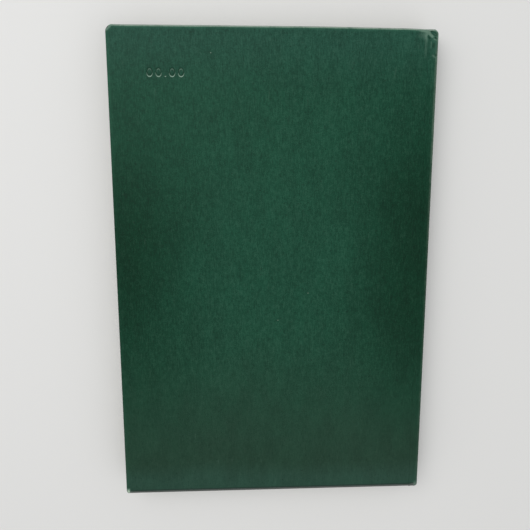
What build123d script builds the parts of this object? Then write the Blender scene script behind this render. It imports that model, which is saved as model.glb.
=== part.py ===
"""Hardback log book, lying closed on its front cover with the back cover up.

X runs from the fore-edge (-) to the spine (+), Y from the tail (-) to the head (+) and Z up.
The origin is the centre of the footprint, on the front cover's outer face.
"""

import os

from build123d import *

os.makedirs("parts", exist_ok=True)

# Text block
leaf_width = 145.0  # fore-edge to fold
leaf_height = 220.0
paper = 0.08
leaf_air = 0.02  # air trapped beside each leaf
sheets_per_section = 4  # folded sheets nested in one sewn section
sections_per_half = 6  # the book opens between the two halves
end_paper = 0.15
thread_width = 0.5
thread = 0.15
thread_stations = 5
thread_spacing = 44.0
mull = 0.1
mull_margin = 2.65  # mull short of the cloth turned in at head and tail
mull_flange = 25.0  # how far the mull reaches onto each board
lining = 0.1
band_radius = 0.55
band_tab = 0.15
band_reach = 10.0  # how far a band's tab runs down the back

# Case
board = 2.0
board_overhang = 2.65  # board past the leaves at fore-edge, head and tail
board_setback = 2.65  # board edge short of the leaves' fold, which leaves the joint
board_corner = 2.65
board_bevel = 0.4  # taken off the cut edges
cloth = 0.35
turn_in = 15.0
mitre_slit = 0.15
strip = 0.6
hollow = 0.35  # air between the block's back and the cloth turned in over the strip
joint_groove = 0.2
joint_slope = 1.0  # from the groove to each side of it
joint_corner = 1.0
hinge_height = 1.2  # case hinge lines above the outer face
case_air = 0.05  # between each pastedown and its flyleaf

# Worked out from those
leaf_pitch = paper + leaf_air
half_fold = sheets_per_section * leaf_pitch
section = 2 * half_fold
half_block = sections_per_half * section
backing = thread + mull + lining
board_low = cloth
board_high = board_low + board
turn_in_high = board_high + cloth
paste_high = turn_in_high + end_paper
fly_low = paste_high + case_air
block_low = fly_low + end_paper
middle = block_low + half_block
thickness = 2 * middle
inner_cloth = backing + hollow
outer_cloth = inner_cloth + cloth + strip
case_width = board_overhang + cloth + leaf_width + outer_cloth + cloth
spine_face = case_width / 2
fold = spine_face - cloth - outer_cloth
fore_edge = fold - leaf_width
board_back = fold - board_setback
board_fore = fore_edge - board_overhang
board_half_height = leaf_height / 2 + board_overhang
case_half_height = board_half_height + cloth
strip_inner = spine_face - cloth - strip
frame_fore = board_fore + turn_in
frame_half_height = board_half_height - turn_in
paste_back = fold - cloth / 2
mull_half_height = frame_half_height - mull_margin
joint_width = spine_face - joint_corner - board_back
back_plane = Plane.XY.offset(middle)


def block(x0, x1, y0, y1, z0, z1):
    """A box between two corners."""
    solid = Box(x1 - x0, y1 - y0, z1 - z0)
    return Pos((x0 + x1) / 2, (y0 + y1) / 2, (z0 + z1) / 2) * solid


def slab(x0, x1, half_height, z0, z1, corner):
    """A cover-shaped plate, rounded at the two fore-edge corners."""
    plate = block(x0, x1, -half_height, half_height, z0, z1)
    return fillet(plate.edges().filter_by(Axis.Z).group_by(Axis.X)[0], corner)


def free_rims(plate, back):
    """The long edges of a plate's two faces, except those at its back, which the joint needs square."""
    return [rim for rim in plate.faces().filter_by(Axis.Z).edges() if rim.center().X < back - cloth]


def folded_sheet(layer, low):
    """One sheet of a section, folded round the sheets inside it; layer 0 is the outermost."""
    outer = half_fold - layer * leaf_pitch - leaf_air / 2
    inner = outer - paper
    centre = low + half_fold
    turn = fold - half_fold
    outside = block(fore_edge, turn, -leaf_height / 2, leaf_height / 2, centre - outer, centre + outer)
    inside = block(fore_edge, turn, -leaf_height / 2, leaf_height / 2, centre - inner, centre + inner)
    upright = Pos(turn, 0, centre) * Rot(90, 0, 0)
    outside += upright * Cylinder(outer, leaf_height)
    inside += upright * Cylinder(inner, leaf_height)
    return outside - inside


def section_sheets(index):
    """The nested sheets of one sewn section, counted from the front cover."""
    low = block_low + index * section
    return [folded_sheet(layer, low) for layer in range(sheets_per_section)]


def leaf_space(low):
    """The room of one flat leaf whose lower side starts at low."""
    turn = fold - half_fold
    return block(fore_edge, turn, -leaf_height / 2, leaf_height / 2, low, low + leaf_pitch)


def front_board():
    """Millboard with its cut edges knocked off, so that the cloth turns over them softly."""
    plate = slab(board_fore, board_back, board_half_height, board_low, board_high, board_corner)
    return chamfer(free_rims(plate, board_back), board_bevel)


def front_cover_cloth():
    """Covering cloth round the front board, turned in at three sides and mitred at the corners."""
    wrap = slab(board_fore - cloth, board_back, case_half_height, 0, turn_in_high, board_corner + cloth)
    wrap = fillet(free_rims(wrap, board_back), board_bevel + cloth)
    wrap -= front_board()
    wrap -= block(frame_fore, board_back, -frame_half_height, frame_half_height,
                  board_low + board / 2, turn_in_high)
    slit = block(-2 * turn_in, 2 * turn_in, -mitre_slit / 2, mitre_slit / 2, board_high, turn_in_high)
    for side in (1, -1):
        corner = Pos(board_fore, side * board_half_height, 0) * Rot(0, 0, -45 * side)
        wrap -= corner * slit
    return wrap


def joint_path(inset):
    """The joint's section, from the board to the spine hinge: a shallow groove, then the rounded shoulder."""
    face = spine_face - inset
    groove = board_back + joint_width / 2
    return FilletPolyline(
        (board_back, inset),
        (groove - joint_slope, inset),
        (groove, inset + joint_groove),
        (groove + joint_slope, inset),
        (face, inset),
        (face, hinge_height),
        radius=[joint_groove, joint_groove, joint_groove, joint_corner - inset],
    )


def joint_layer(inset, y0, y1):
    """One layer of cloth that follows the joint between two heights."""
    band = trace(joint_path(inset + cloth / 2), cloth)
    return Plane(origin=(0, y0, 0), x_dir=(1, 0, 0), z_dir=(0, -1, 0)) * extrude(band, y0 - y1)


def front_joint_cloth():
    outer = joint_layer(0, -case_half_height, case_half_height)
    for low in (-case_half_height, frame_half_height):
        outer += joint_layer(cloth, low, low + case_half_height - frame_half_height)
    return outer


def front_pastedown():
    """The pasted half of the front endpaper: it covers the turned-in cloth and dips to the board inside it."""
    half = leaf_height / 2
    sheet = block(fore_edge, paste_back, -half, half, board_high, paste_high)
    sheet -= block(fore_edge, frame_fore, -half, half, board_high, turn_in_high)
    for y0, y1 in ((frame_half_height, half), (-half, -frame_half_height)):
        sheet -= block(fore_edge, paste_back, y0, y1, board_high, turn_in_high)
    inner = frame_half_height - end_paper
    sheet -= block(frame_fore + end_paper, paste_back - end_paper, -inner, inner,
                   board_high + mull + end_paper, paste_high)
    return sheet - front_mull_flange()


def front_mull_flange():
    """The strip of mull glued to the board under the pastedown."""
    return block(board_back - mull_flange, board_back, -mull_half_height, mull_half_height,
                 board_high, board_high + mull)


def front_flyleaf():
    half = leaf_height / 2
    return block(fore_edge, fold - leaf_air, -half, half, fly_low, block_low - leaf_air / 2)


def spine_strip():
    return block(strip_inner, strip_inner + strip, -board_half_height, board_half_height,
                 hinge_height, thickness - hinge_height)


def spine_cloth():
    """Cloth over the strip, turned in at the head and the tail."""
    high = thickness - hinge_height
    cover = block(strip_inner - cloth, spine_face, -case_half_height, case_half_height, hinge_height, high)
    cover -= block(strip_inner - cloth, strip_inner, -frame_half_height, frame_half_height,
                   hinge_height, high)
    return cover - spine_strip()


def stitching(low):
    """The thread on the back of one half: a flat run at each station, from its first fold to its last."""
    runs = []
    for station in range(thread_stations):
        y = (station - (thread_stations - 1) / 2) * thread_spacing
        runs.append(block(fold, fold + thread, y - thread_width / 2, y + thread_width / 2,
                          low + half_fold, low + half_block - half_fold))
    return runs


def back_panel(inner, thick, half_height):
    """A flat layer glued over the back of the block."""
    return block(inner, inner + thick, -half_height, half_height, block_low, thickness - block_low)


def head_band():
    """A woven bead on the head of the block with its tab glued down the back."""
    tab_face = fold + backing + band_tab
    head = leaf_height / 2
    tall = head + band_radius
    bead = Pos(tab_face - band_radius, tall, middle) * Cylinder(band_radius, thickness - 2 * block_low)
    tab = block(fold + backing, tab_face, head - band_reach, tall, block_low, thickness - block_low)
    return bead + tab


def to_back(piece):
    """The back of the book is the front mirrored at mid thickness."""
    return mirror(piece, about=back_plane)


def write(name, shapes):
    """One STEP file for one named piece, which may hold several loose solids."""
    shapes = shapes if isinstance(shapes, list) else [shapes]
    solids = [solid for shape in shapes for solid in shape.solids()]
    whole = solids[0] if len(solids) == 1 else Compound(solids)
    whole.label = name
    export_step(whole, f"parts/{name}.step")


case_pieces = {
    "board": front_board(),
    "cover_cloth": front_cover_cloth(),
    "joint_cloth": front_joint_cloth(),
    "pastedown": front_pastedown(),
    "mull_flange": front_mull_flange(),
    "flyleaf": front_flyleaf(),
}
for name, piece in case_pieces.items():
    write(f"front_{name}", piece)
    write(f"back_{name}", to_back(piece))

write("spine_strip", spine_strip())
write("spine_cloth", spine_cloth())

lower_leaf = leaf_space(middle - leaf_pitch)
upper_leaf = leaf_space(middle)
for index in range(2 * sections_per_half):
    sheets = section_sheets(index)
    if index == sections_per_half - 1:
        write("turning_leaf_1", sheets[0] & lower_leaf)
        sheets[0] -= lower_leaf
    if index == sections_per_half:
        write("turning_leaf_2", sheets[0] & upper_leaf)
        sheets[0] -= upper_leaf
    write(f"section_{index + 1:02d}", sheets)

write("front_stitching", stitching(block_low))
write("back_stitching", stitching(middle))
write("mull", back_panel(fold + thread, mull, mull_half_height))
write("spine_lining", back_panel(fold + thread + mull, lining, leaf_height / 2 - band_tab))
write("headband", head_band())
write("tailband", mirror(head_band(), about=Plane.XZ))
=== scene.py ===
import math
import bpy
import bmesh
from mathutils import Matrix, Vector, noise


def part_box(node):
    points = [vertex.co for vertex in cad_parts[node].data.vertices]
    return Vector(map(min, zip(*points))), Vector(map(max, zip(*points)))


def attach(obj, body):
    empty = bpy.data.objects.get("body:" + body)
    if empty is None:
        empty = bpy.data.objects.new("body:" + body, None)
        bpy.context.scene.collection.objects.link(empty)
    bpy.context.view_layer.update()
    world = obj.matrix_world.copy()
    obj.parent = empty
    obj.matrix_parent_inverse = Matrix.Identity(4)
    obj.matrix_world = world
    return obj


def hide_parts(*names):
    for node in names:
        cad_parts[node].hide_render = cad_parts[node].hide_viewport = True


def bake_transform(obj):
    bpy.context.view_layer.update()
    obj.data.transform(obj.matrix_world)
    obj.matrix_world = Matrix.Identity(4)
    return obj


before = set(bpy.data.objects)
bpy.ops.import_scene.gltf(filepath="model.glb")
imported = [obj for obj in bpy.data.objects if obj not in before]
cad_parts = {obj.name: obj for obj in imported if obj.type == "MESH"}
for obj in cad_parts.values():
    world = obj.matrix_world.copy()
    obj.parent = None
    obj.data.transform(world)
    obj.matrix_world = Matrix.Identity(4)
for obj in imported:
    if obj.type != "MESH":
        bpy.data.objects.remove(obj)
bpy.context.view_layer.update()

mm = 0.001
coverLow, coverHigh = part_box("back_cover_cloth")
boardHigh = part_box("back_board")[1]
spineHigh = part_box("spine_cloth")[1]
bookTop = coverHigh.z
middle = bookTop / 2
clothThick = bookTop - boardHigh.z


# small helpers

def ramp(low, high, value):
    # eases from 0 at low to 1 at high
    t = min(max((value - low) / (high - low), 0), 1)
    return t * t * (3 - 2 * t)


def addPiece(name, bm, material, replaced, body=None):
    mesh = bpy.data.meshes.new(name)
    rest = bm.verts.layers.float_vector.new("rest")
    for vert in bm.verts:
        vert[rest] = vert.co / mm
    for face in bm.faces:
        face.smooth = True
    bm.to_mesh(mesh)
    bm.free()
    piece = bpy.data.objects.new(name, mesh)
    bpy.context.collection.objects.link(piece)
    mesh.materials.append(material)
    if body:
        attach(piece, body)
    if replaced:
        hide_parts(*replaced)
    return piece


def thicken(piece, thick):
    # the sheet's visible side stays where it was made, and its thickness goes inwards
    wall = piece.modifiers.new("thickness", "SOLIDIFY")
    wall.thickness = thick
    wall.offset = -1
    wall.use_even_offset = False
    wall.use_rim = True


def weighNormals(piece):
    weigh = piece.modifiers.new("normals", "WEIGHTED_NORMAL")
    weigh.keep_sharp = True
    weigh.weight = 60


def flipToFront(bm):
    # the front of the book is the back mirrored at mid thickness
    for vert in bm.verts:
        vert.co.z = 2 * middle - vert.co.z
    bmesh.ops.reverse_faces(bm, faces=bm.faces)


def boxBetween(low, high):
    bm = bmesh.new()
    bmesh.ops.create_cube(bm, size=1.0)
    bmesh.ops.scale(bm, vec=high - low, verts=bm.verts)
    bmesh.ops.translate(bm, vec=(low + high) / 2, verts=bm.verts)
    return bm


def roundOff(bm, edges, radius, segments):
    bmesh.ops.bevel(bm, geom=edges, offset=radius * mm, segments=segments, profile=0.5, affect="EDGES",
                    material=-1)


def isLevel(edge):
    return abs(edge.verts[0].co.z - edge.verts[1].co.z) < 1e-6


def bisect(bm, place, axis):
    parts = bm.verts[:] + bm.edges[:] + bm.faces[:]
    bmesh.ops.bisect_plane(bm, geom=parts, dist=1e-7, plane_co=place, plane_no=axis)


# shader helpers

def addNode(tree, kind, **values):
    node = tree.nodes.new(kind)
    for name, value in values.items():
        setattr(node, name, value)
    return node


def plug(tree, source, target):
    tree.links.new(source, target)


def mathNode(tree, operation, first, second=0.0, third=0.0):
    node = addNode(tree, "ShaderNodeMath", operation=operation)
    for index, value in enumerate((first, second, third)):
        if isinstance(value, (int, float)):
            node.inputs[index].default_value = value
        else:
            plug(tree, value, node.inputs[index])
    return node.outputs[0]


def times(tree, first, second):
    return mathNode(tree, "MULTIPLY", first, second)


def minus(tree, first, second):
    return mathNode(tree, "SUBTRACT", first, second)


def rampNode(tree, value, low, high, outLow=0.0, outHigh=1.0):
    # eases from outLow at low to outHigh at high
    node = addNode(tree, "ShaderNodeMapRange", interpolation_type="SMOOTHSTEP")
    plug(tree, value, node.inputs["Value"])
    for name, number in (("From Min", low), ("From Max", high), ("To Min", outLow), ("To Max", outHigh)):
        if isinstance(number, (int, float)):
            node.inputs[name].default_value = number
        else:
            plug(tree, number, node.inputs[name])
    return node.outputs["Result"]


def mixColour(tree, factor, first, second):
    node = addNode(tree, "ShaderNodeMix", data_type="RGBA")
    for socket, value in ((node.inputs[0], factor), (node.inputs[6], first), (node.inputs[7], second)):
        if isinstance(value, (int, float)):
            socket.default_value = value
        elif isinstance(value, (tuple, list)):
            socket.default_value = (*value, 1)
        else:
            plug(tree, value, socket)
    return node.outputs[2]


def noiseNode(tree, vector, scale, detail=3.0, rough=0.5, stretch=(1, 1, 1)):
    spread = addNode(tree, "ShaderNodeMapping")
    spread.inputs["Scale"].default_value = stretch
    plug(tree, vector, spread.inputs["Vector"])
    node = addNode(tree, "ShaderNodeTexNoise")
    node.inputs["Scale"].default_value = scale
    node.inputs["Detail"].default_value = detail
    node.inputs["Roughness"].default_value = rough
    plug(tree, spread.outputs[0], node.inputs["Vector"])
    return node.outputs["Fac"]


def newGroup(name, inputs, outputs):
    # sockets called Vector or Colour are of that kind, and the others are plain numbers
    kinds = {"Vector": "NodeSocketVector", "Colour": "NodeSocketColor"}
    tree = bpy.data.node_groups.new(name, "ShaderNodeTree")
    for way, labels in (("INPUT", inputs), ("OUTPUT", outputs)):
        for label in labels:
            kind = kinds.get(label, "NodeSocketFloat")
            tree.interface.new_socket(name=label, in_out=way, socket_type=kind)
    return tree, addNode(tree, "NodeGroupInput"), addNode(tree, "NodeGroupOutput")


def useGroup(tree, group, vector=None, **values):
    node = addNode(tree, "ShaderNodeGroup", node_tree=group)
    if vector is not None:
        plug(tree, vector, node.inputs["Vector"])
    for name, value in values.items():
        node.inputs[name].default_value = value
    return node


def newMaterial(name, roughness, specular):
    material = bpy.data.materials.new(name)
    material.use_nodes = True
    tree = material.node_tree
    surface = tree.nodes["Principled BSDF"]
    surface.inputs["Roughness"].default_value = roughness
    surface.inputs["Specular IOR Level"].default_value = specular
    return material, tree, surface


def restPlace(tree):
    # where the point lies in the closed book, in millimetres, however the piece is bent
    return addNode(tree, "ShaderNodeAttribute", attribute_name="rest").outputs["Vector"]


def millimetres(tree):
    # object coordinates in millimetres
    coords = addNode(tree, "ShaderNodeTexCoord")
    scale = addNode(tree, "ShaderNodeMapping")
    scale.inputs["Scale"].default_value = (1 / mm, 1 / mm, 1 / mm)
    plug(tree, coords.outputs["Object"], scale.inputs["Vector"])
    return scale.outputs[0]


def placeOf(tree, bends):
    return restPlace(tree) if bends else millimetres(tree)


def splitVector(tree, vector):
    split = addNode(tree, "ShaderNodeSeparateXYZ")
    plug(tree, vector, split.inputs[0])
    return split.outputs


def bumpNode(tree, height, surface, strength, distance):
    bump = addNode(tree, "ShaderNodeBump")
    bump.inputs["Strength"].default_value = strength
    bump.inputs["Distance"].default_value = distance
    plug(tree, height, bump.inputs["Height"])
    plug(tree, bump.outputs[0], surface.inputs["Normal"])


print("camera and light")

view = {"place": (-15.4, 46.65, 254.39), "forward": (0.0431, -0.1633, -0.9856),
        "up": (0.0085, 0.9866, -0.1631), "lens": 36.555, "sensor": 36.0}


def addCamera():
    data = bpy.data.cameras.new("camera")
    data.sensor_width = view["sensor"]
    data.lens = view["lens"]
    data.clip_start = 0.01
    camera = bpy.data.objects.new("camera", data)
    bpy.context.collection.objects.link(camera)
    forward = Vector(view["forward"]).normalized()
    right = forward.cross(Vector(view["up"])).normalized()
    up = right.cross(forward)
    turn = Matrix((right, up, -forward)).transposed().to_4x4()
    camera.matrix_world = Matrix.Translation(Vector(view["place"]) * mm + Vector((0, 0, bookTop))) @ turn
    bpy.context.scene.camera = camera


addCamera()

light = {"key": 3.0, "keySize": 0.6, "keyPlace": (-0.3, 0.3, 0.7),
         "fill": 1.3, "fillSize": 0.9, "fillPlace": (0.4, -0.3, 0.75), "sky": 0.6, "shown": 0.9,
         "floor": (0.72, 0.72, 0.71), "floorSize": 6.0, "floorRoughness": 0.9, "floorSpecular": 0.1,
         "fade": (0.25, 1.1)}


def addLamp(name, place, power, size):
    data = bpy.data.lights.new(name, "AREA")
    data.energy = power
    data.size = size
    lamp = bpy.data.objects.new(name, data)
    bpy.context.collection.objects.link(lamp)
    lamp.location = place
    lamp.rotation_euler = (-Vector(place)).to_track_quat("-Z", "Y").to_euler()


def addStudio():
    addLamp("key", light["keyPlace"], light["key"], light["keySize"])
    addLamp("fill", light["fillPlace"], light["fill"], light["fillSize"])
    world = bpy.data.worlds.new("studio")
    bpy.context.scene.world = world
    world.use_nodes = True
    tree = world.node_tree
    sky = tree.nodes["Background"]
    sky.inputs["Color"].default_value = (1, 1, 1, 1)
    path = addNode(tree, "ShaderNodeLightPath")
    seen = mathNode(tree, "MAXIMUM", path.outputs["Is Camera Ray"], path.outputs["Is Transmission Ray"])
    plug(tree, rampNode(tree, seen, 0.0, 1.0, light["sky"], light["shown"]), sky.inputs["Strength"])
    bm = bmesh.new()
    bmesh.ops.create_grid(bm, x_segments=1, y_segments=1, size=light["floorSize"])
    mesh = bpy.data.meshes.new("floor")
    bm.to_mesh(mesh)
    bm.free()
    floor = bpy.data.objects.new("floor", mesh)
    bpy.context.collection.objects.link(floor)
    material, tree, surface = newMaterial("floor", light["floorRoughness"], light["floorSpecular"])
    # far away the floor runs into the pale background, only as the camera sees it
    coords = addNode(tree, "ShaderNodeTexCoord")
    away = addNode(tree, "ShaderNodeVectorMath", operation="LENGTH")
    plug(tree, coords.outputs["Object"], away.inputs[0])
    seen = addNode(tree, "ShaderNodeLightPath").outputs["Is Camera Ray"]
    fade = times(tree, rampNode(tree, away.outputs["Value"], *light["fade"]), seen)
    plug(tree, mixColour(tree, fade, light["floor"], (0, 0, 0)), surface.inputs["Base Color"])
    plug(tree, mixColour(tree, fade, (0, 0, 0), (light["shown"],) * 3), surface.inputs["Emission Color"])
    surface.inputs["Emission Strength"].default_value = 1.0
    mesh.materials.append(material)


addStudio()


print("shader groups")


# scales are in cycles to a millimetre, and each share says how much of a pattern goes into the sum
grainLook = {"pebble": 1.1, "pebbleShare": -0.8, "bend": 0.8, "bendShare": 0.12,
             "fine": 2.2, "fineShare": 0.5, "thread": (2.6, 0.35, 1.0), "threadShare": 0.35,
             "coarse": 0.55, "coarseShare": 0.45,
             "fleck": 1.3, "fleckFrom": 0.62, "fleckTo": 0.75}


def leatherGrain():
    # a fine pebbled grain pressed into coated book cloth
    tree, given, out = newGroup("leatherGrain", ("Vector", "Pebble"), ("Height", "Mottle", "Fleck"))
    vector = given.outputs["Vector"]
    bend = addNode(tree, "ShaderNodeTexNoise")
    bend.inputs["Scale"].default_value = grainLook["bend"]
    plug(tree, vector, bend.inputs["Vector"])
    shift = addNode(tree, "ShaderNodeMix", data_type="VECTOR")
    shift.inputs[0].default_value = grainLook["bendShare"]
    plug(tree, vector, shift.inputs[4])
    plug(tree, bend.outputs["Color"], shift.inputs[5])
    cells = addNode(tree, "ShaderNodeTexVoronoi", feature="SMOOTH_F1")
    plug(tree, given.outputs["Pebble"], cells.inputs["Scale"])
    plug(tree, shift.outputs[1], cells.inputs["Vector"])
    fine = noiseNode(tree, vector, grainLook["fine"], 4.0, 0.6)
    threads = noiseNode(tree, vector, 1.0, 2.0, 0.5, grainLook["thread"])
    height = mathNode(tree, "MULTIPLY_ADD", cells.outputs["Distance"], grainLook["pebbleShare"], 1.0)
    height = mathNode(tree, "MULTIPLY_ADD", fine, grainLook["fineShare"], height)
    height = mathNode(tree, "MULTIPLY_ADD", threads, grainLook["threadShare"], height)
    plug(tree, height, out.inputs["Height"])
    coarse = noiseNode(tree, vector, grainLook["coarse"], 5.0, 0.65)
    rest = times(tree, fine, 1 - grainLook["coarseShare"])
    mottle = mathNode(tree, "MULTIPLY_ADD", coarse, grainLook["coarseShare"], rest)
    rest = times(tree, mottle, 1 - grainLook["threadShare"])
    plug(tree, mathNode(tree, "MULTIPLY_ADD", threads, grainLook["threadShare"], rest), out.inputs["Mottle"])
    spots = noiseNode(tree, vector, grainLook["fleck"], 2.0, 0.5)
    plug(tree, rampNode(tree, spots, grainLook["fleckFrom"], grainLook["fleckTo"]), out.inputs["Fleck"])
    return tree


# where each change of tone starts and ends, in millimetres from the middle of the cover, and how far it
# wavers; the dark sides fade out towards head and tail, a little further out beside the spine
# the dark sides are partly painted shade and partly handling; the head's brightness is painted light
toneAndPaintedLightLook = {"patches": 0.02, "side": (30.0, 84.0, 24.0), "Tail": (10.0, -100.0, 30.0),
            "Head": (84.0, 120.0, 10.0), "End": (-92.0, -104.0, 8.0), "across": (30.0, 70.0),
            "sideEnds": ((107.0, 112.0), (12.0, 30.0), (-104.0, -118.0), (6.0, -10.0))}


def coverToneAndPaintedLight():
    # darker long sides, partly handling and partly painted shade; a greyer tail that is painted haze of
    # reflection; a brighter head that is painted light from above; a paler band at the tail end
    tree, given, out = newGroup("coverToneAndPaintedLight", ("Vector",), ("Side", "Tail", "Head", "End"))
    x, y = splitVector(tree, given.outputs["Vector"])[:2]
    wobble = noiseNode(tree, given.outputs["Vector"], toneAndPaintedLightLook["patches"], 2.0, 0.5)
    low, high, waver = toneAndPaintedLightLook["side"]
    away = mathNode(tree, "MULTIPLY_ADD", wobble, waver, mathNode(tree, "ABSOLUTE", x))
    sides = rampNode(tree, away, low, high)
    ends = [rampNode(tree, x, *toneAndPaintedLightLook["across"], *pair) for pair in toneAndPaintedLightLook["sideEnds"]]
    lengthwise = times(tree, rampNode(tree, y, *ends[:2]), rampNode(tree, y, *ends[2:]))
    plug(tree, times(tree, sides, lengthwise), out.inputs["Side"])
    for label in ("Tail", "Head", "End"):
        low, high, waver = toneAndPaintedLightLook[label]
        along = mathNode(tree, "MULTIPLY_ADD", wobble, waver, y)
        plug(tree, rampNode(tree, along, low, high), out.inputs[label])
    return tree


scuffs = {"specks": ((-28.5, 101.2), (16.6, -9.5), (2.0, -22.9)), "wide": 0.32, "core": 0.1, "paleness": 0.5,
          "rub": (0.55, 0.09, 0.2), "rubFrom": 0.66, "rubTo": 0.78}


def scuffMarks():
    # three pale specks on the back cover, and short upright rubs at random places
    tree, given, out = newGroup("scuffMarks", ("Vector",), ("Speck", "Rub"))
    away = 9.0  # further than any speck reaches
    for x, y in scuffs["specks"]:
        gap = addNode(tree, "ShaderNodeVectorMath", operation="DISTANCE")
        plug(tree, given.outputs["Vector"], gap.inputs[0])
        gap.inputs[1].default_value = (x, y, bookTop / mm)
        away = mathNode(tree, "MINIMUM", gap.outputs["Value"], away)
    speck = rampNode(tree, away, scuffs["wide"], scuffs["core"], 0.0, scuffs["paleness"])
    plug(tree, speck, out.inputs["Speck"])
    streak = noiseNode(tree, given.outputs["Vector"], 1.0, 3.0, 0.6, scuffs["rub"])
    plug(tree, rampNode(tree, streak, scuffs["rubFrom"], scuffs["rubTo"]), out.inputs["Rub"])
    return tree


leafLook = {"fine": (0.03, 0.03, 5.5), "fineShare": 0.6, "coarse": (0.015, 0.015, 1.3), "coarseShare": 0.4}


def leafLines():
    # the cut edges of many leaves, seen as fine uneven lines
    tree, given, out = newGroup("leafLines", ("Vector",), ("Line",))
    fine = noiseNode(tree, given.outputs["Vector"], 1.0, 2.0, 0.6, leafLook["fine"])
    coarse = noiseNode(tree, given.outputs["Vector"], 1.0, 1.0, 0.5, leafLook["coarse"])
    rest = times(tree, fine, leafLook["fineShare"])
    plug(tree, mathNode(tree, "MULTIPLY_ADD", coarse, leafLook["coarseShare"], rest), out.inputs["Line"])
    return tree


groups = {"grain": leatherGrain(), "tone": coverToneAndPaintedLight(), "scuff": scuffMarks(), "leaf": leafLines()}

print("materials")

# the head colour is painted light from above, the tail colour is painted haze of reflection, and the side
# colour is partly painted shade
coverFinish = {"mid": (0.0070, 0.0595, 0.0322), "side": (0.0006, 0.0285, 0.0122),
               "tail": (0.0130, 0.0430, 0.0250), "head": (0.0125, 0.0660, 0.0420),
               "end": (0.0175, 0.0570, 0.0375), "fleck": (0.0040, 0.0240, 0.0130),
               "ridge": (0.115, 0.200, 0.150), "paintedShadeGreen": (0.0040, 0.0300, 0.0150), "lip": (0.24, 0.35, 0.28),
               "dust": (0.060, 0.068, 0.062), "speck": (0.33, 0.42, 0.33), "crushed": (0.026, 0.092, 0.060),
               "roughness": (0.44, 0.60), "specular": 0.1, "grain": 0.32, "depth": 0.00009,
               "mottle": (-0.34, 0.33), "mottleHead": 1.25, "mottleTail": 0.5,
               "cloud": 0.1, "cloudStretch": (1.4, 0.6, 1.0), "cloudShade": (0.92, 1.08),
               "fleckShare": 0.65, "dustShare": 0.45, "dustMid": 0.03, "dustSide": -0.01, "rubShare": 0.10,
               "stampShadeShare": 0.7}

# the rims' colours; how far each lies from the outline, in millimetres, and how much of the rubbing
# is left from one place along the book to another
# the head, under, side and spine colours are wear and partly painted highlight; the dark tail line's colour
# is painted shadow
rimWearAndPaintedLight = {"head": (0.230, 0.300, 0.250), "under": (0.032, 0.120, 0.074), "side": (0.030, 0.115, 0.068),
           "spine": (0.090, 0.140, 0.104), "tail": (0.078, 0.086, 0.080), "paintedTailShadow": (0.014, 0.032, 0.025),
           "raggedness": 0.35, "inner": 0.5, "sideReach": 2.4, "spineReach": 1.7, "underReach": 2.0,
           "headReach": 1.05, "tailShadowAt": 1.6, "tailShadowWide": (0.50, 0.15), "tailShadowShare": 0.9,
           "tailReach": (1.35, 1.0),
           "endZone": (2.4, 1.8), "spineZone": (60.0, 70.0), "outerZone": (6.6, 7.3),
           "foreHeld": (20.0, 105.0, 0.08, 0.35), "spineHeld": (-10.0, 90.0, 0.28, 0.85)}


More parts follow.
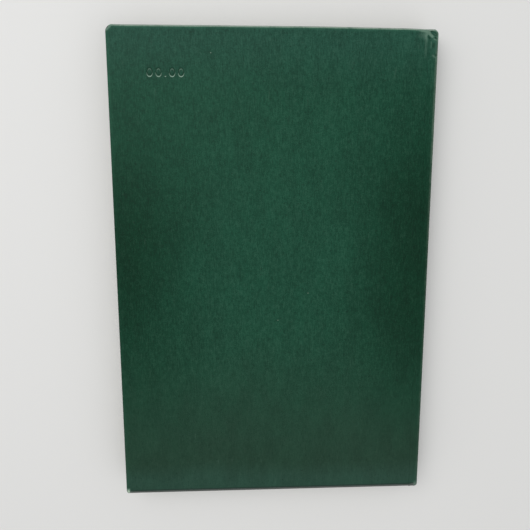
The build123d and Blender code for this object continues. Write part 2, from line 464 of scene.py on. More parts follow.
def edgeWearAndPaintedLight():
    # the worn outline, partly painted light: a pale line at the head, worn and partly painted highlight; a
    # dark painted shadow line and a lip at the tail; lighter long sides, worn and partly painted rim
    # highlight
    tree, given, out = newGroup("edgeWearAndPaintedLight", ("Vector", "Colour"), ("Colour",))
    edge = addNode(tree, "ShaderNodeAttribute", attribute_name="edge").outputs["Fac"]
    x, y, z = splitVector(tree, given.outputs["Vector"])
    rub = noiseNode(tree, given.outputs["Vector"], 0.22, 3.0, 0.65)
    blur = noiseNode(tree, given.outputs["Vector"], 1.4, 2.0, 0.5)
    ragged = rimWearAndPaintedLight["raggedness"]
    rough = mathNode(tree, "MULTIPLY_ADD", blur, ragged, minus(tree, edge, 0.17))
    half = coverHigh.y / mm
    isHead = rampNode(tree, minus(tree, half, y), *rimWearAndPaintedLight["endZone"])
    isTail = rampNode(tree, mathNode(tree, "ADD", half, y), *rimWearAndPaintedLight["endZone"])
    isSpine = rampNode(tree, x, *rimWearAndPaintedLight["spineZone"])
    fromMiddle = mathNode(tree, "ABSOLUTE", minus(tree, z, middle / mm))
    outer = rampNode(tree, fromMiddle, *rimWearAndPaintedLight["outerZone"])
    patch = rampNode(tree, rub, 0.34, 0.66, 0.35, 1.0)
    # the long sides, worn and partly painted rim highlight
    side = mixColour(tree, isSpine, rimWearAndPaintedLight["side"], rimWearAndPaintedLight["spine"])
    less = rimWearAndPaintedLight["spineReach"] - rimWearAndPaintedLight["sideReach"]
    reach = mathNode(tree, "MULTIPLY_ADD", isSpine, less, rimWearAndPaintedLight["sideReach"])
    sides = times(tree, rampNode(tree, rough, reach, rimWearAndPaintedLight["inner"]), patch)
    notEnds = minus(tree, 1.0, mathNode(tree, "MAXIMUM", isHead, isTail))
    sides = times(tree, sides, notEnds)
    spineHeld = times(tree, isSpine, rampNode(tree, y, *rimWearAndPaintedLight["spineHeld"]))
    held = mathNode(tree, "MAXIMUM", rampNode(tree, y, *rimWearAndPaintedLight["foreHeld"]), spineHeld)
    sides = times(tree, sides, held)
    colour = mixColour(tree, times(tree, sides, outer), given.outputs["Colour"], side)
    # the head: a paler zone and the bare line in it, worn and partly painted highlight from light above
    under = times(tree, rampNode(tree, rough, rimWearAndPaintedLight["underReach"], rimWearAndPaintedLight["inner"]),
                  times(tree, isHead, patch))
    colour = mixColour(tree, under, colour, rimWearAndPaintedLight["under"])
    line = times(tree, rampNode(tree, rough, rimWearAndPaintedLight["headReach"], rimWearAndPaintedLight["inner"]), isHead)
    line = times(tree, line, rampNode(tree, rub, 0.25, 0.55, 0.55, 1.0))
    colour = mixColour(tree, line, colour, rimWearAndPaintedLight["head"])
    # the tail: a painted shadow line along the edge and the lip below it
    off = mathNode(tree, "ABSOLUTE", minus(tree, rough, rimWearAndPaintedLight["tailShadowAt"]))
    paintedTailShadow = times(tree, rampNode(tree, off, *rimWearAndPaintedLight["tailShadowWide"]),
                   times(tree, isTail, rimWearAndPaintedLight["tailShadowShare"]))
    colour = mixColour(tree, paintedTailShadow, colour, rimWearAndPaintedLight["paintedTailShadow"])
    lip = times(tree, rampNode(tree, rough, *rimWearAndPaintedLight["tailReach"]), isTail)
    plug(tree, mixColour(tree, lip, colour, rimWearAndPaintedLight["tail"]), out.inputs["Colour"])
    return tree


groups["edges"] = edgeWearAndPaintedLight()


def coverCloth():
    dull, dullest = coverFinish["roughness"]
    material, tree, surface = newMaterial("greenBookCloth", dull, coverFinish["specular"])
    vector = restPlace(tree)
    grain = useGroup(tree, groups["grain"], vector, Pebble=grainLook["pebble"])
    tone = useGroup(tree, groups["tone"], vector)
    scuff = useGroup(tree, groups["scuff"], vector)
    # these mixes paint light: a brighter head, a greyer reflecting tail, and partly painted shade on the
    # darker long sides
    colour = mixColour(tree, tone.outputs["Tail"], coverFinish["mid"], coverFinish["tail"])
    colour = mixColour(tree, tone.outputs["Head"], colour, coverFinish["head"])
    colour = mixColour(tree, tone.outputs["Side"], colour, coverFinish["side"])
    colour = mixColour(tree, tone.outputs["End"], colour, coverFinish["end"])
    # the mottle is strong towards the head and weak at the tail
    ends = coverFinish["mottleHead"], coverFinish["mottleTail"]
    amount = rampNode(tree, tone.outputs["Tail"], 0.1, 0.75, *ends)
    mottle = rampNode(tree, grain.outputs["Mottle"], 0.30, 0.72, *coverFinish["mottle"])
    uneven = times(tree, mottle, amount)
    cloud = noiseNode(tree, vector, coverFinish["cloud"], 4.0, 0.6, coverFinish["cloudStretch"])
    shade = times(tree, mathNode(tree, "ADD", uneven, 1.0),
                  rampNode(tree, cloud, 0.32, 0.68, *coverFinish["cloudShade"]))
    lift = addNode(tree, "ShaderNodeVectorMath", operation="SCALE")
    plug(tree, colour, lift.inputs[0])
    plug(tree, shade, lift.inputs["Scale"])
    fleck = times(tree, grain.outputs["Fleck"], coverFinish["fleckShare"])
    colour = mixColour(tree, fleck, lift.outputs[0], coverFinish["fleck"])
    settled = rampNode(tree, tone.outputs["Side"], 0.0, 1.0, coverFinish["dustMid"], coverFinish["dustSide"])
    dust = mathNode(tree, "MULTIPLY_ADD", uneven, coverFinish["dustShare"], settled)
    colour = mixColour(tree, mathNode(tree, "MAXIMUM", dust, 0.0), colour, coverFinish["dust"])
    rub = times(tree, scuff.outputs["Rub"], coverFinish["rubShare"])
    colour = mixColour(tree, rub, colour, coverFinish["ridge"])
    fold, pale, press, stampHighlight = (addNode(tree, "ShaderNodeAttribute", attribute_name=name).outputs["Fac"]
                                 for name in ("fold", "crushed", "pressed", "stampHighlight"))
    colour = mixColour(tree, pale, colour, coverFinish["crushed"])
    # painted shade in the pressed strokes of the noughts
    stampShade = times(tree, press, coverFinish["stampShadeShare"])
    colour = mixColour(tree, stampShade, colour, coverFinish["paintedShadeGreen"])
    # the noughts' pale lips are a painted highlight
    colour = mixColour(tree, stampHighlight, colour, coverFinish["lip"])
    edges = useGroup(tree, groups["edges"], vector)
    plug(tree, colour, edges.inputs["Colour"])
    colour = edges.outputs["Colour"]
    # folds: painted shade where the cloth sinks, worn pale where it stands up, bare where it stands up most
    broken = rampNode(tree, grain.outputs["Mottle"], 0.3, 0.6, 0.6, 1.0)
    ridge = times(tree, rampNode(tree, fold, 0.04, 0.36), broken)
    colour = mixColour(tree, rampNode(tree, fold, -0.04, -0.30), colour, coverFinish["paintedShadeGreen"])
    colour = mixColour(tree, ridge, colour, coverFinish["ridge"])
    colour = mixColour(tree, rampNode(tree, fold, 0.6, 1.0), colour, coverFinish["speck"])
    colour = mixColour(tree, scuff.outputs["Speck"], colour, coverFinish["speck"])
    plug(tree, colour, surface.inputs["Base Color"])
    plug(tree, rampNode(tree, grain.outputs["Mottle"], 0.3, 0.7, dull, dullest), surface.inputs["Roughness"])
    bumpNode(tree, grain.outputs["Height"], surface, coverFinish["grain"], coverFinish["depth"])
    return material


paperFinish = {"page": (0.79, 0.755, 0.655), "edge": (0.70, 0.65, 0.53), "edgeDark": (0.45, 0.40, 0.30),
               "foxing": (0.60, 0.50, 0.34), "foxingShare": 0.25, "fibre": (0.95, 0.92, 0.85),
               "fibreShare": 0.10, "endpaper": (0.72, 0.70, 0.62), "roughness": 0.85, "specular": 0.15,
               "bump": 0.35, "depth": 0.00012}
ruling = {"lineGap": 7.5, "lineWide": 0.22, "ink": (0.16, 0.22, 0.30), "inkShare": 0.62,
          "headLow": 84.0, "headMid": 93.0, "headHigh": 101.0, "tailLow": -100.0,
          "columns": (-66.0, -50.0, -34.0, -14.0, 2.0, 18.0, 30.0, 42.0, 54.0, 64.0)}


def facingUp(tree):
    # 1 on the flat sides of a leaf, 0 on its cut edges
    coords = addNode(tree, "ShaderNodeTexCoord")
    upward = splitVector(tree, coords.outputs["Normal"])[2]
    return rampNode(tree, mathNode(tree, "ABSOLUTE", upward), 0.6, 0.8)


def printedRules(tree, vector):
    # ruled lines across the page, column lines down it and a heading box
    x, y = splitVector(tree, vector)[:2]
    half = ruling["lineWide"] / 2
    inPage = times(tree, rampNode(tree, y, ruling["tailLow"] - half, ruling["tailLow"]),
                   rampNode(tree, y, ruling["headHigh"] + half, ruling["headHigh"]))
    inBody = times(tree, inPage, rampNode(tree, y, ruling["headLow"] + half, ruling["headLow"]))
    below = minus(tree, y, ruling["headLow"])
    sweep = mathNode(tree, "PINGPONG", below, ruling["lineGap"] / 2)
    lines = times(tree, rampNode(tree, sweep, half * 1.4, half * 0.6), inBody)
    for level in (ruling["headMid"], ruling["headHigh"], ruling["headLow"]):
        off = mathNode(tree, "ABSOLUTE", minus(tree, y, level))
        lines = mathNode(tree, "MAXIMUM", lines, rampNode(tree, off, half * 1.8, half))
    for place in ruling["columns"]:
        off = mathNode(tree, "ABSOLUTE", minus(tree, x, place))
        line = times(tree, rampNode(tree, off, half * 1.4, half * 0.6), inPage)
        lines = mathNode(tree, "MAXIMUM", lines, line)
    inWidth = times(tree, rampNode(tree, x, ruling["columns"][0] - half, ruling["columns"][0]),
                    rampNode(tree, x, ruling["columns"][-1] + half, ruling["columns"][-1]))
    return times(tree, lines, inWidth)


def paperMaterial(name, colour, ruled=False, bends=False):
    material, tree, surface = newMaterial(name, paperFinish["roughness"], paperFinish["specular"])
    vector = placeOf(tree, bends)
    leaf = useGroup(tree, groups["leaf"], vector)
    up = 1.0 if bends else facingUp(tree)
    fibre = noiseNode(tree, vector, 0.9, 4.0, 0.6)
    blotch = noiseNode(tree, vector, 0.03, 4.0, 0.6)
    line = rampNode(tree, leaf.outputs["Line"], 0.30, 0.62)
    edge = mixColour(tree, line, paperFinish["edgeDark"], paperFinish["edge"])
    foxed = rampNode(tree, blotch, 0.48, 0.85, 0.0, paperFinish["foxingShare"])
    page = mixColour(tree, foxed, colour, paperFinish["foxing"])
    bleached = rampNode(tree, fibre, 0.35, 0.75, 0.0, paperFinish["fibreShare"])
    page = mixColour(tree, bleached, page, paperFinish["fibre"])
    if ruled:
        inked = times(tree, printedRules(tree, vector), ruling["inkShare"])
        page = mixColour(tree, inked, page, ruling["ink"])
    plug(tree, mixColour(tree, up, edge, page), surface.inputs["Base Color"])
    height = mathNode(tree, "MULTIPLY_ADD", minus(tree, 1.0, up), leaf.outputs["Line"],
                      times(tree, fibre, 0.15))
    bumpNode(tree, height, surface, paperFinish["bump"], paperFinish["depth"])
    return material


fibreDepth = 0.0001


def plainFibre(name, light, dark, roughness, grain, stretch=(1, 1, 1), bends=False):
    # card, paper or thread whose fibres run at random, drawn out along one way by stretch
    material, tree, surface = newMaterial(name, roughness, 0.2)
    fibre = noiseNode(tree, placeOf(tree, bends), grain, 5.0, 0.65, stretch)
    plug(tree, mixColour(tree, rampNode(tree, fibre, 0.32, 0.68), dark, light), surface.inputs["Base Color"])
    bumpNode(tree, fibre, surface, 0.4, fibreDepth)
    return material


mullFinish = {"light": (0.74, 0.70, 0.60), "dark": (0.45, 0.40, 0.30), "gap": 0.9}


def wovenMaterial(name, bends=False):
    # plain weave: two crossed sets of threads
    material, tree, surface = newMaterial(name, 0.9, 0.15)
    x, y, z = splitVector(tree, placeOf(tree, bends))
    gap = mullFinish["gap"]
    along = mathNode(tree, "PINGPONG", y, gap / 2)
    across = mathNode(tree, "PINGPONG", mathNode(tree, "ADD", x, z), gap / 2)
    weave = mathNode(tree, "MAXIMUM", *(rampNode(tree, way, gap * 0.1, gap * 0.4) for way in (along, across)))
    plug(tree, mixColour(tree, weave, mullFinish["dark"], mullFinish["light"]), surface.inputs["Base Color"])
    bumpNode(tree, weave, surface, 0.6, fibreDepth)
    return material


bandFinish = {"pale": (0.74, 0.71, 0.60), "green": (0.05, 0.16, 0.10), "lean": 0.5, "stripe": 0.6,
              "thread": 0.1}


def bandMaterial():
    # the bead is wound in slanting stripes of two threads
    material, tree, surface = newMaterial("wovenBand", 0.8, 0.2)
    place = splitVector(tree, restPlace(tree))
    slant = mathNode(tree, "MULTIPLY_ADD", place[0], bandFinish["lean"], place[2])
    stripe = mathNode(tree, "PINGPONG", slant, bandFinish["stripe"])
    thread = mathNode(tree, "PINGPONG", slant, bandFinish["thread"])
    colour = mixColour(tree, rampNode(tree, stripe, 0.26, 0.34), bandFinish["pale"], bandFinish["green"])
    plug(tree, colour, surface.inputs["Base Color"])
    bumpNode(tree, thread, surface, 0.7, fibreDepth)
    return material


finish = {
    "cloth": coverCloth(),
    "board": plainFibre("millboard", (0.40, 0.35, 0.27), (0.24, 0.20, 0.15), 0.9, 1.4),
    "page": paperMaterial("ruledPaper", paperFinish["page"], ruled=True),
    "turning": paperMaterial("ruledLeaf", paperFinish["page"], ruled=True, bends=True),
    "endpaper": paperMaterial("endpaper", paperFinish["endpaper"]),
    "mull": wovenMaterial("gauze"),
    "bentMull": wovenMaterial("bentGauze", bends=True),
    "lining": plainFibre("brownPaper", (0.48, 0.36, 0.22), (0.34, 0.25, 0.15), 0.85, 0.8, (1, 0.3, 1),
                         bends=True),
    "thread": plainFibre("linenThread", (0.80, 0.77, 0.68), (0.55, 0.51, 0.42), 0.7, 4.0, (1, 1, 0.4)),
    "band": bandMaterial(),
}

print("carried-over pieces")

kept = {"board": ("front_board",),
        "endpaper": ("front_pastedown", "back_pastedown", "front_flyleaf", "back_flyleaf"),
        "mull": ("front_mull_flange", "back_mull_flange"),
        "thread": ("front_stitching", "back_stitching"),
        "page": tuple(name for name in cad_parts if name.startswith("section_"))}
for label, names in kept.items():
    for name in names:
        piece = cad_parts[name]
        piece.data.materials.clear()
        piece.data.materials.append(finish[label])

print("case cloth")

case = {"corner": 3.0, "tailCorner": 1.3, "rim": 0.75, "boardRim": 0.4, "stripRim": 0.2, "turnIn": 15.0,
        "waviness": 0.05, "wavePitch": 38.0, "ripplePitch": 11.0,
        "groove": 0.2, "grooveHalf": 1.5, "shoulder": 1.0,
        "drop": 0.8, "blunt": 1.4, "tailBlunt": 0.8, "deepFold": 1.3,
        "highest": 0.15, "lowest": -0.3, "spineLowest": -0.9}

# how closely the cloth is divided: all over, in strips beside the long sides and below the head; and
# at the spine, first up, round and over, then along the book, close together below the head
cloth = {"grid": 3.0, "sideCuts": 16, "sidePitch": 0.55, "headCuts": 24, "headPitch": 0.6,
         "profile": (8, 8, 18), "closeFrom": 0.9, "closePitch": 0.4, "closeRows": 40, "farRows": 60}

# dents and ridges where the cloth is crushed, in each corner: distance from the long and from the short edge,
# length, width, turn in degrees and rise, the lengths in millimetres
spineFolds = ((2.45, 1.9, 3.2, 1.3, -30, -0.85), (3.8, 2.8, 3.0, 1.3, -52, 0.52),
              (5.1, 1.1, 2.6, 1.0, -25, 0.46), (7.4, 0.9, 4.6, 0.9, -5, 0.38),
              (1.4, 4.4, 1.2, 0.9, -35, -0.52), (1.6, 5.2, 1.8, 0.7, -25, 0.32),
              (4.2, 4.3, 3.0, 1.2, -56, -0.40), (4.0, 6.8, 3.2, 0.8, 92, -0.16),
              (3.4, 7.6, 4.2, 0.8, 90, 0.22), (2.1, 7.7, 3.0, 1.7, 84, -0.22),
              (0.9, 12.1, 1.4, 1.1, 70, -0.28), (1.9, 12.6, 2.6, 1.5, -35, 0.20),
              (5.8, 8.0, 13.0, 1.8, 90, 0.15), (0.4, 4.2, 5.0, 0.7, 90, 0.34),
              (0.5, 14.0, 4.0, 0.9, 86, 0.22), (5.2, 3.0, 10.0, 5.0, 0, 0.17))
foreFolds = ((1.7, 1.6, 4.2, 0.9, -47, 0.42), (0.9, 1.2, 1.4, 0.9, -47, -0.46), (4.4, 0.5, 4.0, 0.8, 4, 0.20))
spineTailFolds = ((1.3, 0.9, 2.6, 1.5, 24, 0.26),)
foreTailFolds = ((1.1, 1.1, 1.2, 1.15, 0, 2.2), (2.9, 0.8, 3.0, 0.9, 0, 0.14))

# a row of plain noughts and a point pressed blind into the back cover, in millimetres from the fore edge
# and the head
stamp = {"centres": ((18.95, 20.1), (22.95, 20.1), (29.05, 20.1), (33.05, 20.1)), "point": (26.0, 21.7),
         "half": (1.1, 1.65), "stroke": 0.55, "lip": 0.38, "depth": 0.14, "grid": 0.2,
         "low": (17.0, 17.4), "high": (35.0, 23.0)}


def foldHeight(x, y):
    # how far the crushed cloth stands out at one point of the back cover, in millimetres
    total = 0.0
    fromHead, fromTail = coverHigh.y / mm - y, y - coverLow.y / mm
    fromSpine, fromFore = spineHigh.x / mm - x, x - coverLow.x / mm
    for folds, away, end in ((spineFolds, fromSpine, fromHead), (foreFolds, fromFore, fromHead),
                             (spineTailFolds, fromSpine, fromTail), (foreTailFolds, fromFore, fromTail)):
        if max(away, end) > 20:
            continue
        for side, down, length, width, turn, rise in folds:
            dx, dy = away - side, end - down
            cosine, sine = math.cos(math.radians(turn)), math.sin(math.radians(turn))
            along, across = dx * cosine + dy * sine, dy * cosine - dx * sine
            total += rise * math.exp(-(2 * along / length) ** 4 - (2.2 * across / width) ** 2)
    return total


def stamped(x, y):
    # 1 in a pressed stroke, 0 outside
    side, down = x - coverLow.x / mm, coverHigh.y / mm - y
    if not (stamp["low"][0] < side < stamp["high"][0] and stamp["low"][1] < down < stamp["high"][1]):
        return 0.0
    wide, tall = stamp["half"]
    gaps = [math.hypot(side - stamp["point"][0], down - stamp["point"][1])]
    for placeX, placeY in stamp["centres"]:
        dx, dy = (side - placeX) / wide, (down - placeY) / tall
        ratio = math.hypot(dx, dy) or 1e-6
        gaps.append(abs(ratio - 1) * ratio / max(math.hypot(dx / wide, dy / tall), 1e-6))
    return ramp(stamp["stroke"] / 2 + 0.1, stamp["stroke"] / 2 - 0.15, min(gaps))


def waviness(x, y):
    # boards under cloth are never quite flat
    wave = noise.noise(Vector((x, y, 3.0)) / case["wavePitch"])
    wave += 0.4 * noise.noise(Vector((x, y, 9.0)) / case["ripplePitch"])
    return case["waviness"] * min(wave - 0.9, 0)


def edgeDistance(x, y, z):
    # millimetres over the cloth from a point of the cover to its outline, which has rounded corners
    radius = case["shoulder"] if x > 0 else case["corner"] if y > 0 else case["tailCorner"]
    qx = abs(x) - (-coverLow.x / mm - radius)
    qy = abs(y) - (coverHigh.y / mm - radius)
    down = max(bookTop / mm - 0.8 - z, 0)
    return radius - math.hypot(max(qx, 0), max(qy, 0)) - min(max(qx, qy), 0) + 2.2 * down


# where the head edge wears lower and where the corners at the spine are blunt, in millimetres
endWear = {"long": (15, 66), "longShare": 0.55, "short": (60, 70.5), "shortShare": 0.45, "upper": 4.5,
           "corner": (73.0, 75.2), "cornerDepth": (6, 1), "reach": 7}


def drawnIn(x, y, z):
    # the head edge is worn lower towards the spine, and the cloth's own corner there is blunt
    half, top, reach = coverHigh.y / mm, bookTop / mm, endWear["reach"]
    slope = endWear["longShare"] * ramp(*endWear["long"], x)
    slope += endWear["shortShare"] * ramp(*endWear["short"], x)
    worn = case["drop"] * slope * ramp(middle / mm, middle / mm + endWear["upper"], z)
    deep, shallow = endWear["cornerDepth"]
    blunt = ramp(*endWear["corner"], x) * ramp(top - deep, top - shallow, z)
    head = (worn + case["blunt"] * blunt) * ramp(half - reach, half, y)
    return head - case["tailBlunt"] * blunt * ramp(reach - half, -half, y)


# the crushed patch at the spine and the head, in millimetres from the corner, and the painted highlight on
# the noughts' lips
crush = {"across": 7, "down": 16, "share": 0.75, "from": 1.0, "to": 0.45, "upperStampHighlight": 0.35, "lowerStampHighlight": 0.65}


def shapeCloth(bm, back):
    # records each point's distance from the outline and its fold, then wrinkles the outer face
    edge, fold, crushed, pressed, stampHighlight = (bm.verts.layers.float.new(name) for name in
                                            ("edge", "fold", "crushed", "pressed", "stampHighlight"))
    for vert in bm.verts:
        x, y, z = vert.co / mm
        vert[edge] = min(max(edgeDistance(x, y, z), 0), 8)
        outer = ramp(bookTop / mm - 1.3, bookTop / mm - 0.4, z)
        rise = foldHeight(x, y) * outer if back else 0.0
        vert[fold] = rise
        near = math.hypot((75 - x) / crush["across"], max(coverHigh.y / mm - y, 0) / crush["down"])
        vert[crushed] = crush["share"] * ramp(crush["from"], crush["to"], near) * outer if back else 0.0
        inside = ramp(0.0, 4.0, vert[edge])
        vert[pressed] = stamped(x, y) * outer if back else 0.0
        lower = ramp(-0.4, 0.6, coverHigh.y / mm - y - stamp["centres"][0][1])
        # a painted highlight on the lip beside each stroke, fuller on the lower half of the noughts
        lip = max(stamped(x, y + stamp["lip"]) * outer - vert[pressed], 0) if back else 0.0
        vert[stampHighlight] = lip * (crush["upperStampHighlight"] + crush["lowerStampHighlight"] * lower)
        rise = min(max(rise, case["spineLowest"] if x > 70 else case["lowest"]), case["highest"])
        vert.co.z += (rise + outer * waviness(x, y) * inside - stamp["depth"] * vert[pressed]) * mm
        if back:
            vert.co.y -= drawnIn(x, y, z) * mm
    if not back:
        flipToFront(bm)


def roundCorners(bm, thick, inset):
    # the two corners at the fore edge, as seen from above
    uprights = [edge for edge in bm.edges if all(vert.co.x < 0 for vert in edge.verts)
                and abs(edge.verts[0].co.z - edge.verts[1].co.z) > thick / 2]
    for upright in uprights:
        radius = case["corner"] if upright.verts[0].co.y > 0 else case["tailCorner"]
        roundOff(bm, [upright], radius - inset, 8)


def coverShell(name, back):
    # the cloth round one board: a plate with rounded corners and rims, open at the joint and inside
    size = coverHigh - coverLow
    bm = boxBetween(coverLow, coverHigh)
    roundCorners(bm, size.z, 0)
    bmesh.ops.delete(bm, geom=[face for face in bm.faces if face.normal.x > 0.9], context="FACES_ONLY")
    bmesh.ops.delete(bm, geom=[edge for edge in bm.edges if not edge.link_faces], context="EDGES")
    rims = [edge for edge in bm.edges if len(edge.link_faces) == 2 and isLevel(edge)
            and abs(edge.link_faces[0].normal.z) + abs(edge.link_faces[1].normal.z) > 0.9]
    roundOff(bm, rims, case["rim"], 5)
    inner = Vector((coverLow.x + case["turnIn"] * mm, coverHigh.y - case["turnIn"] * mm, 0))
    for place, axis in ((inner.x, (1, 0, 0)), (inner.y, (0, 1, 0)), (-inner.y, (0, 1, 0))):
        bisect(bm, Vector(axis) * place, axis)
    gone = [face for face in bm.faces if face.normal.z < -0.9 and face.calc_center_median().x > inner.x
            and abs(face.calc_center_median().y) < inner.y]
    bmesh.ops.delete(bm, geom=gone, context="FACES")
    step = cloth["grid"] * mm
    for index in range(1, int(size.x / step)):
        bisect(bm, (coverLow.x + index * step, 0, 0), (1, 0, 0))
    for index in range(1, int(size.y / step)):
        bisect(bm, (0, coverLow.y + index * step, 0), (0, 1, 0))
    for index in range(cloth["sideCuts"]):
        away = (index + 0.5) * cloth["sidePitch"] * mm
        bisect(bm, (coverHigh.x - away, 0, 0), (1, 0, 0))
        bisect(bm, (coverLow.x + away, 0, 0), (1, 0, 0))
    for index in range(1, cloth["headCuts"]):
        bisect(bm, (0, coverHigh.y - index * cloth["headPitch"] * mm, 0), (0, 1, 0))
    if back:
        fineGrid(bm)
    bmesh.ops.dissolve_degenerate(bm, dist=2e-6, edges=bm.edges)
    shapeCloth(bm, back)
    replaced = ("back_cover_cloth",) if back else ("front_cover_cloth",)
    body = "back_cover" if back else "front_half"
    piece = addPiece(name, bm, finish["cloth"], replaced, body)
    thicken(piece, clothThick)
    weighNormals(piece)


def fineGrid(bm):
    # a closer grid where the noughts are pressed in
    low = Vector((coverLow.x + stamp["low"][0] * mm, coverHigh.y - stamp["high"][1] * mm))
    high = Vector((coverLow.x + stamp["high"][0] * mm, coverHigh.y - stamp["low"][1] * mm))
    faces = [face for face in bm.faces if face.normal.z > 0.9
             and all(min(vert.co[way] for vert in face.verts) < high[way] for way in (0, 1))
             and all(max(vert.co[way] for vert in face.verts) > low[way] for way in (0, 1))]
    for axis in (0, 1):
        normal = Vector((1 - axis, axis, 0))
        for index in range(int((high[axis] - low[axis]) / (stamp["grid"] * mm)) + 1):
            place = normal * (low[axis] + index * stamp["grid"] * mm)
            parts = faces + list({part for face in faces for part in (*face.edges, *face.verts)})
            cut = bmesh.ops.bisect_plane(bm, geom=parts, dist=1e-7, plane_co=place, plane_no=normal)
            faces = [part for part in cut["geom"] if isinstance(part, bmesh.types.BMFace)]


boardGrid = {"endCuts": 16, "endPitch": 0.5, "parts": 30, "inset": 0.35}


def coveredBoard(name, node, body, rounded):
    # board under the cloth, drawn in with it at the worn ends
    low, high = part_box(node)
    thick = high.z - low.z
    bm = boxBetween(low, high)
    if rounded:
        roundCorners(bm, thick, boardGrid["inset"])
    rims = [edge for edge in bm.edges
            if isLevel(edge) and len(edge.link_faces) == 2 and edge.calc_face_angle(0) > 1]
    roundOff(bm, rims, case["boardRim"] if rounded else case["stripRim"], 3)
    for index in range(1, boardGrid["endCuts"]):
        away = index * boardGrid["endPitch"] * mm
        bisect(bm, (0, high.y - away, 0), (0, 1, 0))
        bisect(bm, (0, low.y + away, 0), (0, 1, 0))
    parts = boardGrid["parts"]
    for index in range(1, parts):
        bisect(bm, (high.x + (low.x - high.x) * index / parts, 0, 0), (1, 0, 0))
        bisect(bm, (0, 0, low.z + thick * index / parts), (0, 0, 1))
    for vert in bm.verts:
        x, y, z = vert.co / mm
        vert.co.y -= drawnIn(x + 0.5, y, max(z, middle / mm)) * mm
        dent = min(foldHeight(x, y), 0) * ramp(thick / 2, thick, vert.co.z - low.z)
        vert.co.z += max(dent, -case["boardRim"]) * mm
    addPiece(name, bm, finish["board"], (node,), body)


def jointProfile():
    # outer face of the cloth in section: from mid spine up, round the shoulder and over to the board
    face, top, radius = spineHigh.x, bookTop, case["shoulder"] * mm
    up, turn, over = cloth["profile"]
    points = [(face, middle + (top - radius - middle) * step / up) for step in range(up + 1)]
    for step in range(1, turn + 1):
        angle = math.pi / 2 * step / turn
        points.append((face - radius + radius * math.cos(angle), top - radius + radius * math.sin(angle)))
    start, end = face - radius, coverHigh.x
    groove = (start + end) / 2
    for step in range(1, over + 1):
        x = start + (end - start) * step / over
        dip = max(1 - abs(x - groove) / (case["grooveHalf"] * mm), 0)
        points.append((x, top - case["groove"] * mm * ramp(0, 1, dip)))
    return points


def sheetRows():
    # pairs along the book, turned in at head and tail: y, and the depth inside the outer face, from 0 to 1
    high, reach = coverHigh.y, case["turnIn"] * mm
    rows = [(high - reach, 1.0), (high - reach * 0.6, 1.0), (high - reach * 0.25, 1.0)]
    for step in range(7):
        angle = math.pi * step / 6
        rows.append((high - 0.6 * mm + 0.6 * mm * math.sin(angle), 0.5 + 0.5 * math.cos(angle)))
    turned = [(-y, depth) for y, depth in reversed(rows)]
    first, pitch, parts = cloth["closeFrom"], cloth["closePitch"], cloth["farRows"]
    near = [high - (first + pitch * step) * mm for step in range(cloth["closeRows"])]
    far = [near[-1] - (near[-1] + near[0]) * step / parts for step in range(1, parts)]
    return rows + [(y, 0.0) for y in near + far + [-near[0]]] + turned


def spineSkin(name, back):
    # one half of the cloth over the spine and its joint, from mid spine to the board
    profile, rows = jointProfile(), sheetRows()
    bm = bmesh.new()
    bmesh.ops.create_grid(bm, x_segments=len(profile) - 1, y_segments=len(rows) - 1, size=1.0)
    deepFold = case["deepFold"] * mm  # cloth, strip and cloth again at the spine
    jointFold = 2 * clothThick
    ordered = sorted(bm.verts, key=lambda vert: (round(vert.co.y, 5), round(vert.co.x, 5)))
    for index, vert in enumerate(ordered):
        (y, depth), (x, z) = rows[index // len(profile)], profile[index % len(profile)]
        onSpine = ramp(spineHigh.z, spineHigh.z - 0.8 * mm, z)
        fold = depth * (jointFold + (deepFold - jointFold) * onSpine)
        flat = coverHigh.x + 2.5 * mm  # as far as this the turned-in cloth lies straight below the joint
        lean = min(max((x - flat) / (spineHigh.x - flat), 0), 1) ** 3
        inwards = Vector((-lean, 0, -(1 - lean))).normalized() if onSpine < 1 else Vector((-1, 0, 0))
        vert.co = Vector((x, y, z)) + inwards * fold
    bmesh.ops.recalc_face_normals(bm, faces=bm.faces)
    outside = max(bm.faces, key=lambda face: face.calc_center_median().x)
    if outside.normal.x < 0:
        bmesh.ops.reverse_faces(bm, faces=bm.faces)
    shapeCloth(bm, back)
    return addPiece(name, bm, finish["cloth"], ())


coveredBoard("backBoard", "back_board", "back_cover", True)
coveredBoard("spineStrip", "spine_strip", "spine", False)
coverShell("backCoverCloth", True)
coverShell("frontCoverCloth", False)
for name, back in (("backSpineCloth", True), ("frontSpineCloth", False)):
    skin = spineSkin(name, back)
    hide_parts("spine_cloth", "back_joint_cloth" if back else "front_joint_cloth")
    thicken(skin, clothThick * 0.96)
    low, high = Vector((spineHigh.x, 0, spineHigh.z - 1.3 * mm)), Vector((coverHigh.x + 0.2 * mm, 0, bookTop))
    if not back:
        low.z, high.z = 2 * middle - low.z, 2 * middle - high.z
    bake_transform(skin)

print("turning leaves and back linings")

leaf = {"bendReach": 26.0, "columns": 72, "rows": 22}
backing = {"columns": 24, "rows": 40, "fold": 1.2}
bead = {"radius": 0.55, "sides": 14, "steps": 32, "tab": 0.15, "cuts": 24}


def turningLeaf(node):
    low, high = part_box(node)
    bm = bmesh.new()
    bmesh.ops.create_grid(bm, x_segments=leaf["columns"], y_segments=leaf["rows"], size=0.5)
    bmesh.ops.scale(bm, vec=(high.x - low.x, high.y - low.y, 1), verts=bm.verts)
    bmesh.ops.translate(bm, vec=(low + high) / 2 + Vector((0, 0, (high.z - low.z) / 2)), verts=bm.verts)
    piece = addPiece(node.replace("turning_leaf_", "turningLeaf"), bm, finish["turning"], (node,))
    thicken(piece, high.z - low.z)
    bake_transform(piece)


turningLeaf("turning_leaf_1")
turningLeaf("turning_leaf_2")


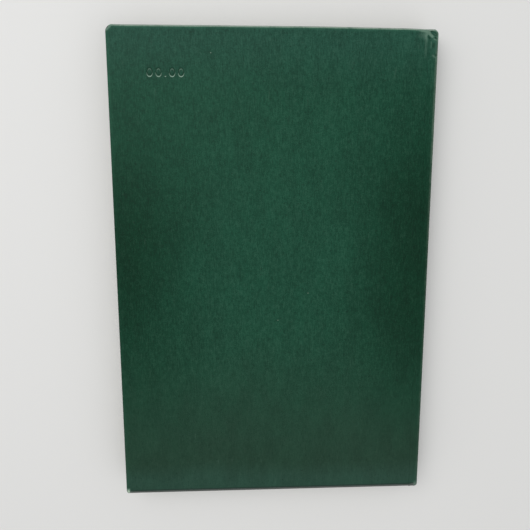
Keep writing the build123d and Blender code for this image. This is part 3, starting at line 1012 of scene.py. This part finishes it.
def backLayer(name, node, label):
    # a layer glued over the block's back, made as a flat sheet
    low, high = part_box(node)
    bm = bmesh.new()
    bmesh.ops.create_grid(bm, x_segments=backing["columns"], y_segments=backing["rows"], size=0.5)
    bmesh.ops.scale(bm, vec=(high.z - low.z, high.y - low.y, 1), verts=bm.verts)
    bmesh.ops.rotate(bm, cent=(0, 0, 0), matrix=Matrix.Rotation(math.pi / 2, 3, "Y"), verts=bm.verts)
    bmesh.ops.translate(bm, vec=Vector((high.x, (low.y + high.y) / 2, (low.z + high.z) / 2)), verts=bm.verts)
    piece = addPiece(name, bm, finish[label], (node,))
    thicken(piece, high.x - low.x)
    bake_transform(piece)


backLayer("mullCloth", "mull", "bentMull")
backLayer("spineLining", "spine_lining", "lining")


def endBand(name, node, head):
    # a wound bead across the end of the block, with its woven tab down the back
    low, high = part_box(node)
    radius, tab = bead["radius"] * mm, bead["tab"] * mm
    across = high.z - low.z
    end, sign = (high.y, 1) if head else (low.y, -1)
    bm = bmesh.new()
    bmesh.ops.create_circle(bm, segments=bead["sides"], radius=radius)
    bmesh.ops.translate(bm, vec=(high.x - radius, end - sign * radius, low.z), verts=bm.verts)
    bmesh.ops.spin(bm, geom=bm.verts[:] + bm.edges[:], cent=(0, 0, 0), axis=(0, 0, 1),
                   dvec=(0, 0, across / bead["steps"]), angle=0, steps=bead["steps"])
    bmesh.ops.holes_fill(bm, edges=[edge for edge in bm.edges if len(edge.link_faces) == 1])
    bmesh.ops.recalc_face_normals(bm, faces=bm.faces)
    tall = (high.y - low.y) - 2 * radius
    strip = bmesh.ops.create_cube(bm, size=1.0)["verts"]
    bmesh.ops.scale(bm, vec=(tab, tall, across), verts=strip)
    place = (high.x - tab / 2, end - sign * (2 * radius + tall / 2), (low.z + high.z) / 2)
    bmesh.ops.translate(bm, vec=place, verts=strip)
    for index in range(1, bead["cuts"]):
        bisect(bm, (0, 0, low.z + across * index / bead["cuts"]), (0, 0, 1))
    piece = addPiece(name, bm, finish["band"], (node,))
    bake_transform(piece)


endBand("headBand", "headband", True)
endBand("tailBand", "tailband", False)

bpy.context.scene.view_settings.view_transform = "Standard"
